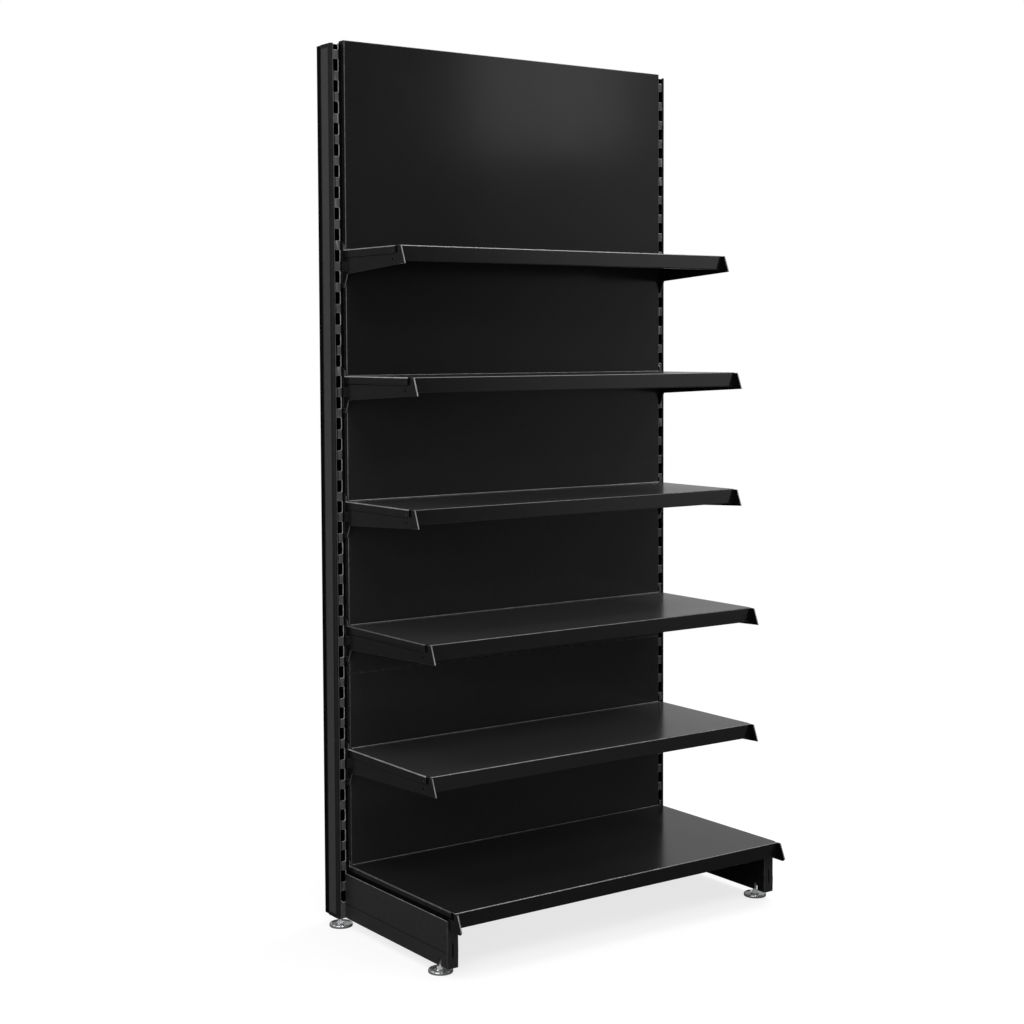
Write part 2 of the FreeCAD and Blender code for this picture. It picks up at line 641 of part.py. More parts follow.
def foot_stud(name, side, end):
    centre = foot_centre(side, end)
    collar = hexagon(f"{name}_collar", (*centre, "sizes.foot_thickness"), "sizes.collar_flats",
                     "sizes.collar_height")
    shank_start = "sizes.foot_thickness + sizes.collar_height"
    shank = rod(f"{name}_shank", (*centre, shank_start), "sizes.stud_diameter", "sizes.stud_length")
    return fuse(name, [collar, shank])


def build():
    nodes = []
    for side in hands:
        nodes.append(upright(side))
        nodes.append(upright_base(side))
        nodes.append(leg(side))
        nodes.append(leg_end(side))
        nodes.append(leg_bridge(side))
        nodes.append(base_bracket(f"base_bracket_{side}", side))
        for end in ("front", "rear"):
            nodes.append(foot_nut(f"foot_nut_{end}_{side}", side, end))
            nodes.append(foot_disc(f"foot_disc_{end}_{side}", side, end))
            nodes.append(foot_stud(f"foot_stud_{end}_{side}", side, end))
    gap = "sizes.panel_gap / 2"
    lower_joint = "sizes.panel_lower_joint"
    upper_joint = "sizes.panel_upper_joint"
    nodes.append(panel("panel_lower", "sizes.panel_bottom", f"{lower_joint} - {gap}"))
    nodes.append(panel("panel_middle", f"{lower_joint} + {gap}", f"{upper_joint} - {gap}"))
    nodes.append(panel("panel_upper", f"{upper_joint} + {gap}", "sizes.panel_top"))
    nodes.append(tray("base_tray", "sizes.base_depth", "sizes.base_top", "sizes.base_flange_height"))
    depths = ["sizes.top_depth", "sizes.middle_depth", "sizes.middle_depth", "sizes.lower_depth",
              "sizes.lower_depth"]
    for index, depth in enumerate(depths):
        slot = f"sizes.lowest_shelf_slot + sizes.shelf_step * {len(depths) - 1 - index}"
        level = f"({slot_floor(slot)} + sizes.slot_height)"
        shelf = f"shelf_{index + 1}"
        nodes.append(tray(f"{shelf}_tray", depth, level, "sizes.flange_height"))
        for side in hands:
            nodes.append(shelf_bracket(f"{shelf}_bracket_{side}", side, depth, level))
    return nodes


nodes = build()
doc.recompute()
for thing in doc.Objects:
    if "Invalid" in thing.State or "Error" in thing.State:
        raise RuntimeError(f"{thing.Name} failed: {thing.State}")
for node in nodes:
    node.Label = node.Name
    if node.Shape.isNull() or not node.Shape.isValid() or len(node.Shape.Solids) != 1:
        raise RuntimeError(f"{node.Name} is not one valid solid")
os.makedirs("parts", exist_ok=True)
for node in nodes:
    node.Shape.exportStep(f"parts/{node.Label}.step")
    print(node.Label, round(node.Shape.Volume / 1000, 2), "cm3")
print(len(nodes), "nodes")
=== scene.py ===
import json
import math
import bpy
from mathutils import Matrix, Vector

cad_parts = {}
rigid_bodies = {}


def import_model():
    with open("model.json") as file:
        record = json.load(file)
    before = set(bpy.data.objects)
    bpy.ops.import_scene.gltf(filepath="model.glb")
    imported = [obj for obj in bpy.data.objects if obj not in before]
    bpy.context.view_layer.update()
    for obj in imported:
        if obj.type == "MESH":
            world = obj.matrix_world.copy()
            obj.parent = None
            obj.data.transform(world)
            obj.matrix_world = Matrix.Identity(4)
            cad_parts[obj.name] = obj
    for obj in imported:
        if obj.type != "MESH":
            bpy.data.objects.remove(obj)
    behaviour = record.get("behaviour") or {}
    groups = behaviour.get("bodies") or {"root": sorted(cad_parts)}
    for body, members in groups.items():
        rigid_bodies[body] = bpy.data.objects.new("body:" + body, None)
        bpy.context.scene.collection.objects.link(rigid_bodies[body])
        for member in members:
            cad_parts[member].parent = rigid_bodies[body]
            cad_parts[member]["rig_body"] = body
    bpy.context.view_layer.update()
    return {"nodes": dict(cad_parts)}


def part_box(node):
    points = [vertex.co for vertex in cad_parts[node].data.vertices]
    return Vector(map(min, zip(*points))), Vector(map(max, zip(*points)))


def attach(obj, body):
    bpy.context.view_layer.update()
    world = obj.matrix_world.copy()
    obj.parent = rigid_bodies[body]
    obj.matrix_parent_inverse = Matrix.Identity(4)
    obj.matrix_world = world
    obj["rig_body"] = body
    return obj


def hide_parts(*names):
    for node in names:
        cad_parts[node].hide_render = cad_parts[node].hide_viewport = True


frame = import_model()
nodes = frame["nodes"]
scene = bpy.context.scene
scene.view_settings.view_transform = "Standard"
mm = 0.001
near = 0.02 * mm          # two places this close are the same place
nearer = near / 10        # the same for the small steps of a thread
square = 0.9              # a face looks along an axis if its normal has this share of it
flush = 0.99              # and lies flat across it from this share on
axisX, axisY, axisZ = range(3)
print("frame loaded:", len(nodes), "nodes")

edgeLook = {
    "flat": math.radians(0.5),        # faces that bend less than this are one face
    "sharp": math.radians(40),        # edges that bend more than this get a small round
    "smooth": math.radians(50),       # edges that bend less than this are shaded smooth
    "roundSteps": 2, "largeFaces": 100}


def pickOnly(piece):
    if bpy.context.object and bpy.context.object.mode != "OBJECT":
        bpy.ops.object.mode_set(mode="OBJECT")
    bpy.ops.object.select_all(action="DESELECT")
    piece.select_set(True)
    bpy.context.view_layer.objects.active = piece


def applied(piece, kind, **values):
    # adds a modifier with these values and applies it
    modifier = piece.modifiers.new(kind.lower(), kind)
    for name, value in values.items():
        setattr(modifier, name, value)
    pickOnly(piece)
    bpy.ops.object.modifier_apply(modifier=modifier.name)


def mergedCopy(nodeName):
    # the node's loose triangles, joined into whole flat faces
    piece = bpy.data.objects.new(nodeName + "_finished", nodes[nodeName].data.copy())
    scene.collection.objects.link(piece)
    piece.data.materials.clear()
    pickOnly(piece)
    bpy.ops.mesh.customdata_custom_splitnormals_clear()
    bpy.ops.object.mode_set(mode="EDIT")
    bpy.ops.mesh.select_all(action="SELECT")
    bpy.ops.mesh.remove_doubles(threshold=near)
    bpy.ops.mesh.dissolve_limited(angle_limit=edgeLook["flat"])
    bpy.ops.object.mode_set(mode="OBJECT")
    return piece


def pickNone(piece, kind):
    # gets the piece ready for its edges or faces to be picked
    pickOnly(piece)
    bpy.ops.object.mode_set(mode="EDIT")
    bpy.ops.mesh.select_mode(type=kind)
    bpy.ops.mesh.select_all(action="DESELECT")
    bpy.ops.object.mode_set(mode="OBJECT")


def pickEdges(piece, tests):
    # leaves the piece in edit mode with each edge selected whose two ends pass one of the tests
    pickNone(piece, "EDGE")
    points = piece.data.vertices
    for edge in piece.data.edges:
        ends = [points[index].co for index in edge.vertices]
        edge.select = any(all(test(end) for end in ends) for test in tests)
    bpy.ops.object.mode_set(mode="EDIT")


def pickFaces(piece, test):
    # leaves the piece in edit mode with the faces that pass the test selected
    pickNone(piece, "FACE")
    for face in piece.data.polygons:
        face.select = test(face.center, face.normal)
    bpy.ops.object.mode_set(mode="EDIT")


def raised(step):
    # pulls the picked faces out, or presses them in, and leaves edit mode
    bpy.ops.mesh.extrude_region_move(TRANSFORM_OT_translate={"value": step})
    bpy.ops.object.mode_set(mode="OBJECT")


def sliced(piece, axis, places):
    # cuts the faces that cross these places along an axis
    pickOnly(piece)
    bpy.ops.object.mode_set(mode="EDIT")
    across = [0, 0, 0]
    across[axis] = 1
    for place in places:
        bpy.ops.mesh.select_all(action="SELECT")
        bpy.ops.mesh.bisect(plane_co=[place * share for share in across], plane_no=across)
    bpy.ops.object.mode_set(mode="OBJECT")


def roundBend(piece, tests, radius, steps=3, finish=-1):
    # rounds the picked edges; the new faces may take another of the piece's finishes
    pickEdges(piece, tests)
    bpy.ops.mesh.bevel(offset=radius, segments=steps, affect="EDGES", material=finish)
    bpy.ops.object.mode_set(mode="OBJECT")


def roundEdges(piece, width, finish=-1):
    # a small round on every edge left sharp; the new faces may take another of the piece's finishes
    applied(piece, "BEVEL", width=width, segments=edgeLook["roundSteps"], limit_method="ANGLE",
            angle_limit=edgeLook["sharp"], material=finish)


def dressed(piece, nodeName):
    # smooth shading that keeps large faces flat, and then the piece takes the node's place
    pickOnly(piece)
    bpy.ops.object.shade_smooth_by_angle(angle=edgeLook["smooth"])
    applied(piece, "WEIGHTED_NORMAL", weight=edgeLook["largeFaces"], keep_sharp=True)
    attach(piece, nodes[nodeName]["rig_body"])
    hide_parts(nodeName)


def onPlane(axis, place):
    return lambda point: abs(point[axis] - place) < near


def meets(*tests):
    return lambda point: all(test(point) for test in tests)


# Finishes

skinLook = {"Peel": (900.0, 2.0), "Cloud": (3.5, 4.0), "Rub": (60.0, 6.0)}        # scale and detail


def shaderGroup(name, inputs, outputs):
    tree = bpy.data.node_groups.new(name, "ShaderNodeTree")
    for label, value in inputs.items():
        socket = tree.interface.new_socket(label, in_out="INPUT", socket_type="NodeSocketFloat")
        socket.default_value = value
    for label in outputs:
        tree.interface.new_socket(label, in_out="OUTPUT", socket_type="NodeSocketFloat")
    return tree, tree.nodes.new("NodeGroupInput"), tree.nodes.new("NodeGroupOutput")


def noiseOf(tree, place, detail):
    noise = tree.nodes.new("ShaderNodeTexNoise")
    noise.inputs["Detail"].default_value = detail
    tree.links.new(place, noise.inputs["Vector"])
    return noise


def powderSkin():
    # orange peel of the coat, slow clouds in its gloss, and rubbed spots
    scales = {name + " Scale": scale for name, (scale, detail) in skinLook.items()}
    tree, given, result = shaderGroup("powderSkin", scales, skinLook)
    place = tree.nodes.new("ShaderNodeTexCoord").outputs["Object"]
    for name, (scale, detail) in skinLook.items():
        noise = noiseOf(tree, place, detail)
        tree.links.new(given.outputs[name + " Scale"], noise.inputs["Scale"])
        tree.links.new(noise.outputs["Fac"], result.inputs[name])
    return tree


skinGroup = powderSkin()


def ramped(tree, value, low, high, start, end, kind="LINEAR"):
    # goes from low to high as the value goes from start to end
    ramp = tree.nodes.new("ShaderNodeMapRange")
    ramp.interpolation_type = kind
    ramp.inputs["From Min"].default_value = start
    ramp.inputs["From Max"].default_value = end
    ramp.inputs["To Min"].default_value = low
    ramp.inputs["To Max"].default_value = high
    tree.links.new(value, ramp.inputs["Value"])
    return ramp.outputs["Result"]


def blended(tree, mask, first, second):
    mix = tree.nodes.new("ShaderNodeMix")
    mix.data_type = "RGBA"
    mix.inputs["A"].default_value = (*first, 1)
    mix.inputs["B"].default_value = (*second, 1)
    tree.links.new(mask, mix.inputs["Factor"])
    return mix.outputs["Result"]


def bumped(tree, shader, height, look):
    bump = tree.nodes.new("ShaderNodeBump")
    bump.inputs["Strength"].default_value = look["bump"]
    bump.inputs["Distance"].default_value = look["bumpDepth"]
    tree.links.new(height, bump.inputs["Height"])
    tree.links.new(bump.outputs["Normal"], shader.inputs["Normal"])


def startMaterial(name):
    material = bpy.data.materials.new(name)
    material.use_nodes = True
    return material, material.node_tree, material.node_tree.nodes["Principled BSDF"]


coatLook = {"tint": (1, 1.005, 0.99), "peelScale": 900.0, "bump": 0.06, "bumpDepth": 0.1 * mm,
            "rubSpan": (0.5, 0.62), "cloudSpan": (0.35, 0.65), "gloss": (0.15, 0.19), "ior": 1.5}
coatLooks = {        # what each coat has of its own
    "black": {"shade": 0.0055, "rubbed": 0.007},
    # painted light: the middle and lower back panels take a lighter coat than the upper one, where the
    # shelves shade them
    "panelHigh": {"shade": 0.0098, "rubbed": 0.0106, "gloss": (0.16, 0.2), "ior": 1.44},
    "panel": {"shade": 0.0162, "rubbed": 0.0172, "gloss": (0.16, 0.2), "ior": 1.44},
    # painted light: the tops of the trays are painted lighter than their sheet
    "deck": {"shade": 0.036, "rubbed": 0.039, "gloss": (0.21, 0.25), "bump": 0.02, "ior": 1.8},
    "baseDeckPaintedLight": {"shade": 0.013, "rubbed": 0.015, "ior": 1.8},
    # painted shade: the trays' sheet and lips are a touch darker than the plain black
    "tray": {"shade": 0.0045, "rubbed": 0.0055, "ior": 1.8},
    # painted light: the legs are painted lighter than the plain black
    "leg": {"shade": 0.02, "rubbed": 0.022, "gloss": (0.24, 0.3), "bump": 0.08},
    # painted reflection: the uprights' pressed strip and slotted face are painted lighter
    "side": {"shade": 0.042, "rubbed": 0.047, "gloss": (0.3, 0.36), "bump": 0.08, "ior": 1.4},
    "face": {"shade": 0.075, "rubbed": 0.09, "gloss": (0.3, 0.36), "bump": 0.08, "ior": 1.4},
    "corner": {"shade": 0.012, "rubbed": 0.014, "gloss": (0.5, 0.56), "bump": 0.1, "ior": 1.2},
    # painted shade: the darkest coat stands for shade in recesses, creases, inner sides, shadow lines and the
    # uprights' lid
    "paintedShade": {"shade": 0.003, "rubbed": 0.004, "gloss": (0.5, 0.6), "bump": 0.1, "ior": 1.06},
    # edge wear and painted highlight: the small rounds on edges take this lighter coat
    "edge": {"shade": 0.032, "rubbed": 0.05, "gloss": (0.2, 0.28), "ior": 1.6},
    # painted highlights, each lighter than the last, on bends, front edges, slot rims and the deck's bead
    "hem": {"shade": 0.075, "rubbed": 0.11, "gloss": (0.2, 0.28), "ior": 1.6},
    "paintedHighlight": {"shade": 0.2, "rubbed": 0.28, "gloss": (0.2, 0.28), "ior": 1.6},
    "rim": {"shade": 0.2, "rubbed": 0.28, "gloss": (0.24, 0.32), "ior": 1.6},
    "bead": {"shade": 0.3, "rubbed": 0.4, "gloss": (0.2, 0.28), "ior": 1.6},
    "glint": {"shade": 0.5, "rubbed": 0.6, "gloss": (0.2, 0.28), "ior": 1.6},
}


def powderCoat(name, look):
    material, tree, shader = startMaterial(name)
    skin = tree.nodes.new("ShaderNodeGroup")
    skin.node_tree = skinGroup
    skin.inputs["Peel Scale"].default_value = look["peelScale"]
    rub = ramped(tree, skin.outputs["Rub"], 0, 1, *look["rubSpan"])
    plain, rubbed = [[look[key] * share for share in look["tint"]] for key in ("shade", "rubbed")]
    tree.links.new(blended(tree, rub, plain, rubbed), shader.inputs["Base Color"])
    gloss = ramped(tree, skin.outputs["Cloud"], *look["gloss"], *look["cloudSpan"])
    tree.links.new(gloss, shader.inputs["Roughness"])
    bumped(tree, shader, skin.outputs["Peel"], look)
    shader.inputs["IOR"].default_value = look["ior"]
    return material


coats = {name: powderCoat(name + "Coat", {**coatLook, **look}) for name, look in coatLooks.items()}

zincLook = {"dark": (0.6, 0.61, 0.62), "light": (0.76, 0.77, 0.78), "gloss": (0.16, 0.28), "metal": 0.8,
            "spangleScale": 160.0, "spangleDetail": 3.0, "spangleSpan": (0.35, 0.65),
            "scuffScale": 900.0, "scuffDetail": 5.0, "scuffSpan": (0.3, 0.7),
            "bump": 0.15, "bumpDepth": 0.1 * mm}
# painted light: the studs are a lighter, less metallic zinc than the discs and nuts, where the legs shade
# them
studPaintedLightLook = {"dark": (0.84, 0.85, 0.86), "light": (0.92, 0.93, 0.94), "metal": 0.35}


def brightZinc(name, look):
    # spangled colour, and fine scuffs in the gloss
    material, tree, shader = startMaterial(name)
    place = tree.nodes.new("ShaderNodeTexCoord").outputs["Object"]
    spangle = noiseOf(tree, place, look["spangleDetail"])
    spangle.inputs["Scale"].default_value = look["spangleScale"]
    scuff = noiseOf(tree, place, look["scuffDetail"])
    scuff.inputs["Scale"].default_value = look["scuffScale"]
    mask = ramped(tree, spangle.outputs["Fac"], 0, 1, *look["spangleSpan"])
    tree.links.new(blended(tree, mask, look["dark"], look["light"]), shader.inputs["Base Color"])
    gloss = ramped(tree, scuff.outputs["Fac"], *look["gloss"], *look["scuffSpan"])
    tree.links.new(gloss, shader.inputs["Roughness"])
    bumped(tree, shader, scuff.outputs["Fac"], look)
    shader.inputs["Metallic"].default_value = look["metal"]
    return material


coats["zinc"] = brightZinc("zincPlate", zincLook)
coats["stud"] = brightZinc("studZincPaintedLight", {**zincLook, **studPaintedLightLook})
print("finishes made")


def takeFinish(piece, **parts):
    # gives the piece a coat for each of its parts, and says where in its list each part's coat is
    for coat in parts.values():
        piece.data.materials.append(coats[coat])
    return {part: place for place, part in enumerate(parts)}


# Uprights

uprightLook = {
    "rim": 1.5 * mm, "rimColumn": 8 * mm, "dullRim": 4 * mm,        # the rims of the slots
    "stripFront": 12.5 * mm, "stripRear": 46.5 * mm, "stripEnd": 9 * mm, "stripDepth": 1.0 * mm,
    "stripEdge": 0.4 * mm, "innerEdge": 6.8 * mm,
    "shoulder": 48 * mm, "sideShare": 0.5,        # behind the shoulder the tube is narrower
    "lid": (25.6 * mm, 43 * mm, 1.5 * mm), "lidDrop": 3 * mm}


def addLid(piece, place):
    # closes the tube just under its top with a lid in painted shade
    bpy.ops.object.select_all(action="DESELECT")
    bpy.ops.mesh.primitive_cube_add(size=1, location=place)
    lid = bpy.context.object
    lid.scale = uprightLook["lid"]
    bpy.ops.object.transform_apply()
    takeFinish(lid, whole="paintedShade")
    pickOnly(piece)
    lid.select_set(True)
    bpy.ops.object.join()


def dressUpright(nodeName):
    # the outer side has a shallow pressed strip; the strip and the slotted face are painted lighter, the slot
    # rims take a painted highlight, and the rear sides and the inner side take painted shade
    low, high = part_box(nodeName)
    piece = mergedCopy(nodeName)
    finish = takeFinish(piece, corner="corner", rim="rim", strip="side", dark="paintedShade", face="face",
                        rear="black")
    outer = low.x if low.x < 0 else high.x
    inward = 1 if low.x < 0 else -1
    middle = (low.x + high.x) / 2
    column = uprightLook["rimColumn"]
    slotRim = meets(onPlane(axisY, low.y), lambda point: abs(point.x - middle) < column)
    roundBend(piece, [slotRim], uprightLook["rim"], steps=2, finish=finish["rim"])
    depths = [low.y + uprightLook[name] for name in ("stripFront", "stripRear")]
    heights = (low.z + uprightLook["stripEnd"], high.z - uprightLook["stripEnd"])
    inner = middle + inward * uprightLook["innerEdge"]
    mirrored = 2 * middle - inner
    sliced(piece, axisX, [inner, mirrored])
    sliced(piece, axisY, depths)
    sliced(piece, axisZ, heights)
    pickFaces(piece, lambda spot, normal: abs(spot.x - outer) < near and depths[0] < spot.y < depths[1]
              and heights[0] < spot.z < heights[1])
    pressed = inward * uprightLook["stripDepth"]
    raised((pressed, 0, 0))
    ridge = meets(onPlane(axisX, outer), lambda point: depths[0] - near < point.y < depths[1] + near,
                  lambda point: heights[0] - near < point.z < heights[1] + near)
    roundBend(piece, [ridge], uprightLook["stripEdge"], steps=2)
    for face in piece.data.polygons:
        spot = face.center
        onStrip = abs(spot.x - outer - pressed) < near and spot.y > depths[0]
        onFace = abs(spot.y - low.y) < near and (low.x < 0 or spot.x < mirrored)
        # painted highlight on the inner half of each slot rim; the outer half takes the duller corner coat
        if face.material_index == finish["rim"]:        # a slot's rim is dull on its outer side
            part = "corner" if (middle - spot.x) * inward > uprightLook["dullRim"] else "rim"
        # painted shade: the sides behind the shoulder and the inner side take the darkest coat; the back
        # keeps the plain black
        elif spot.y > low.y + uprightLook["shoulder"] - near:
            part = "dark" if abs(face.normal.x) > uprightLook["sideShare"] else "rear"
        elif (spot.x - inner) * inward > 0:
            part = "dark"
        elif onStrip:
            part = "strip"
        else:
            part = "face" if onFace else "corner"
        face.material_index = finish[part]
    addLid(piece, (middle, low.y + uprightLook["shoulder"] / 2, high.z - uprightLook["lidDrop"]))
    dressed(piece, nodeName)


for side in ("left", "right"):
    dressUpright("upright_" + side)
print("uprights done")

# Back panels: folded pans with a soft bend all round the face

panelLook = {"bend": 2.0 * mm, "sheet": 1.0 * mm, "edge": 0.25 * mm, "rightShare": 0.3}


def dressPanel(nodeName):
    low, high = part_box(nodeName)
    piece = mergedCopy(nodeName)
    # painted light: the middle and lower panels take the lighter coat
    coat = "panelHigh" if nodeName.endswith("upper") else "panel"
    finish = takeFinish(piece, sheet=coat, bend="edge", rightBend="hem")
    for inset, part in ((panelLook["sheet"], "sheet"), (0, "bend")):        # the inner bend comes first
        face = onPlane(axisY, low.y + inset)
        rims = [meets(face, onPlane(axis, place)) for axis in (axisX, axisZ)
                for place in (low[axis] + inset, high[axis] - inset)]
        roundBend(piece, rims, panelLook["bend"] - inset, steps=4, finish=finish[part])
    roundEdges(piece, panelLook["edge"], finish["bend"])
    # painted highlight: the outer bends take the edge coat, and the right bend the lighter hem coat
    for face in piece.data.polygons:        # the right bend catches more light
        if face.material_index == finish["bend"] and face.normal.x > panelLook["rightShare"]:
            face.material_index = finish["rightBend"]
    dressed(piece, nodeName)


for level in ("lower", "middle", "upper"):
    dressPanel("panel_" + level)
print("panels done")

# Trays

trayLook = {"bend": 2.4 * mm, "sheet": 1.2 * mm, "hem": 1.1 * mm, "edge": 0.3 * mm,
            "bead": (4.6 * mm, 2.0 * mm), "beadHeight": 1.6 * mm, "beadEnd": 10 * mm, "beadRound": 0.9 * mm,
            "frontBend": 3 * mm, "frontShares": (0.1, 0.4)}        # forward and up
# painted highlights: each shelf's front bend, side bends and bead get coats of their own lightness
trayLines = {        # coats of the front bend, the side bends and the bead
    "base": ("paintedHighlight", "hem", "paintedHighlight"),
    "shelf_1": ("paintedHighlight", "paintedHighlight", "bead"),
    "shelf_2": ("tray", "bead", "bead"),
    "shelf_3": ("tray", "paintedHighlight", "glint"),
    "shelf_4": ("hem", "hem", "bead"),
    "shelf_5": ("paintedHighlight", "paintedHighlight", "bead"),
}


def dressTray(shelf):
    # a bead runs along the back of the deck, and the flanges end in a soft hem; the deck is painted lighter,
    # the bends, the flanges' front ends, the front and the bead take painted highlights, and the hem takes
    # painted shade
    nodeName = shelf + "_tray"
    low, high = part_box(nodeName)
    piece = mergedCopy(nodeName)
    front, bend, bead = trayLines[shelf]
    # painted light: the decks take a lighter coat than the sheet
    coat, deckPaintedLight = ("black", "baseDeckPaintedLight") if shelf == "base" else ("tray", "deck")
    finish = takeFinish(piece, sheet=coat, edge="edge", bend=bend, hem="paintedShade", bead=bead, deck=deckPaintedLight,
                        flange="black", front=front)
    rows = [high.y - inset for inset in trayLook["bead"]]
    ends = [low.x + trayLook["beadEnd"], high.x - trayLook["beadEnd"]]
    sliced(piece, axisY, rows)
    sliced(piece, axisX, ends)
    pickFaces(piece, lambda spot, normal: abs(spot.z - high.z) < near and normal.z > square
              and rows[0] < spot.y < rows[1] and ends[0] < spot.x < ends[1])
    raised((0, 0, trayLook["beadHeight"]))
    beadTop = onPlane(axisZ, high.z + trayLook["beadHeight"])
    roundBend(piece, [beadTop], trayLook["beadRound"], finish=finish["bead"])
    hemLevel = min(point.co.z for point in piece.data.vertices if abs(point.co.x - low.x) < near)
    sides = [onPlane(axisX, place) for place in (low.x, high.x)]
    hem = onPlane(axisZ, hemLevel)
    deck = onPlane(axisZ, high.z)
    roundBend(piece, [meets(hem, side) for side in sides], trayLook["hem"], finish=finish["hem"])
    roundBend(piece, [meets(deck, side) for side in sides], trayLook["bend"], finish=finish["bend"])
    roundBend(piece, [meets(deck, onPlane(axisY, high.y))], trayLook["bend"])
    roundEdges(piece, trayLook["edge"], finish["edge"])
    forward, up = trayLook["frontShares"]
    for face in piece.data.polygons:
        spot = face.center
        normal = face.normal
        if normal.z > flush and abs(spot.z - high.z) < near:
            face.material_index = finish["deck"]
        elif abs(normal.x) > flush:
            face.material_index = finish["flange"]
        elif normal.y < -square and abs(spot.x) > high.x - trayLook["sheet"]:
            face.material_index = finish["bend"]        # the front end of a flange
        elif normal.y < -forward and normal.z > up and spot.y < low.y + trayLook["frontBend"]:
            face.material_index = finish["front"]
    dressed(piece, nodeName)


for shelf in trayLines:
    dressTray(shelf)
print("trays done")

# Brackets, legs and the plates inside them

plateLook = {"edge": 0.5 * mm}


def dressPlate(nodeName):
    piece = mergedCopy(nodeName)
    finish = takeFinish(piece, plate="black", edge="edge")
    # edge wear and painted highlight on the small rounds
    roundEdges(piece, plateLook["edge"], finish["edge"])
    dressed(piece, nodeName)


# the lead takes the bracket's front corner ahead of its tray, and the patch of painted shade and the hole lie
# behind it
bracketLook = {"edge": 0.45 * mm, "lead": 9 * mm, "shadePatch": (13 * mm, 34 * mm), "shadePatchDepth": 17 * mm,
               "hole": (36 * mm, 31 * mm), "holeReach": 4 * mm, "frontShare": 0.75}


def dressBracket(nodeName, trayName, shadeFrom):
    # painted shade in a patch behind the front corner, in the hole and on the inner side, a painted highlight
    # on the cut edge at the front, and softer painted highlights on the edges behind it
    outward = -1 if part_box(nodeName)[0].x < 0 else 1
    trayLow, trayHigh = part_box(trayName)
    piece = mergedCopy(nodeName)
    finish = takeFinish(piece, plate="black", front="paintedHighlight", dark="paintedShade", edge="hem")
    corner = trayLow.y - bracketLook["lead"]
    back, drop = bracketLook["hole"]
    hole = Vector((0, corner + back, trayHigh.z - drop))
    rows = [corner + reach for reach in bracketLook["shadePatch"]]
    shadePatchFloor = trayHigh.z - bracketLook["shadePatchDepth"]
    sliced(piece, axisY, rows + ([shadeFrom] if shadeFrom else []))
    sliced(piece, axisZ, [shadePatchFloor])
    roundEdges(piece, bracketLook["edge"], finish["front"])
    share = bracketLook["frontShare"]
    for face in piece.data.polygons:
        spot = face.center
        flat = face.normal.x * outward
        inShadePatch = rows[0] < spot.y < rows[1] and spot.z > shadePatchFloor
        inHole = abs(flat) < flush and (spot - hole).yz.length < bracketLook["holeReach"]
        shaded = inShadePatch or shadeFrom and spot.y > shadeFrom
        if flat < -square or inHole or flat > square and shaded:
            face.material_index = finish["dark"]
        elif spot.y > rows[0] and face.material_index == finish["front"]:
            face.material_index = finish["edge"]
        elif face.normal.y < -share and abs(flat) < share:
            face.material_index = finish["front" if spot.y < rows[0] else "edge"]
    dressed(piece, nodeName)


legLook = {"bend": 2.4 * mm, "rim": 0.9 * mm, "crease": 0.7 * mm}


def dressLeg(nodeName):
    # painted highlights on the top and bottom rims, edge wear and painted highlight on the front bends, a
    # body painted lighter than the plain black inner side, and painted shade in the creases
    low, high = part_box(nodeName)
    piece = mergedCopy(nodeName)
    finish = takeFinish(piece, channel="leg", bend="edge", rim="paintedHighlight", inner="black", crease="paintedShade")
    sides = (low.x, high.x)
    front = onPlane(axisY, low.y)
    bends = [meets(front, onPlane(axisX, side)) for side in sides]
    roundBend(piece, bends, legLook["bend"], finish=finish["bend"])
    rims = [meets(onPlane(axisZ, level), onPlane(axisX, side)) for level in (low.z, high.z) for side in sides]
    roundBend(piece, rims, legLook["rim"], steps=2, finish=finish["rim"])
    inner = high.x if low.x < 0 else low.x
    for face in piece.data.polygons:
        inset = min(abs(face.center.x - side) for side in sides)
        if abs(face.center.x - inner) < near:
            face.material_index = finish["inner"]
        elif face.material_index == finish["channel"] and near < inset < legLook["crease"]:
            face.material_index = finish["crease"]
    dressed(piece, nodeName)


for side in ("left", "right"):
    dressLeg("leg_" + side)
    # painted shade: the base brackets take the darkest coat where they stand in the legs
    for shelf in trayLines:        # the base brackets are dark where they stand in the legs
        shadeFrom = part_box("leg_" + side)[0].y if shelf == "base" else None
        dressBracket(f"{shelf}_bracket_{side}", f"{shelf}_tray", shadeFrom)
    for plate in ("leg_end_", "leg_bridge_", "upright_base_"):
        dressPlate(plate + side)
print("brackets and legs done")

# Feet: a dished disc, a threaded stud with a hexagon, and a nut

footLook = {
    "dishSteps": 72,
    "dish": (        # radius and height in mm, from the middle of the underside to the middle of the top
        (0, 0), (26.2, 0), (27.8, 0.5), (28.5, 1.8), (28.5, 5.4), (28.1, 6.9), (27.1, 7.8), (25.9, 8.0),
        (24.7, 7.6), (23.8, 6.5), (22.8, 5.5), (20.8, 5.0), (15.0, 5.0), (12.4, 5.3), (10.6, 6.2),
        (9.4, 7.5), (8.9, 8.0), (0, 8.0)),
    "coreSides": 32, "rootRadius": 4.2 * mm, "crestRadius": 4.98 * mm, "tip": 1.2 * mm,
    "threadPitch": 1.5 * mm, "threadSteps": 20, "threadStart": 0.6, "bareTurns": 2, "toothSunk": 0.3 * mm,
    "toothRoot": (0.2, 0.8), "toothCrest": (0.56, 0.44),        # shares of the pitch
    "hexagonHeight": 6 * mm, "hexagonFlats": 15 * mm, "hexagonEdge": 0.6 * mm, "nutEdge": 0.7 * mm}


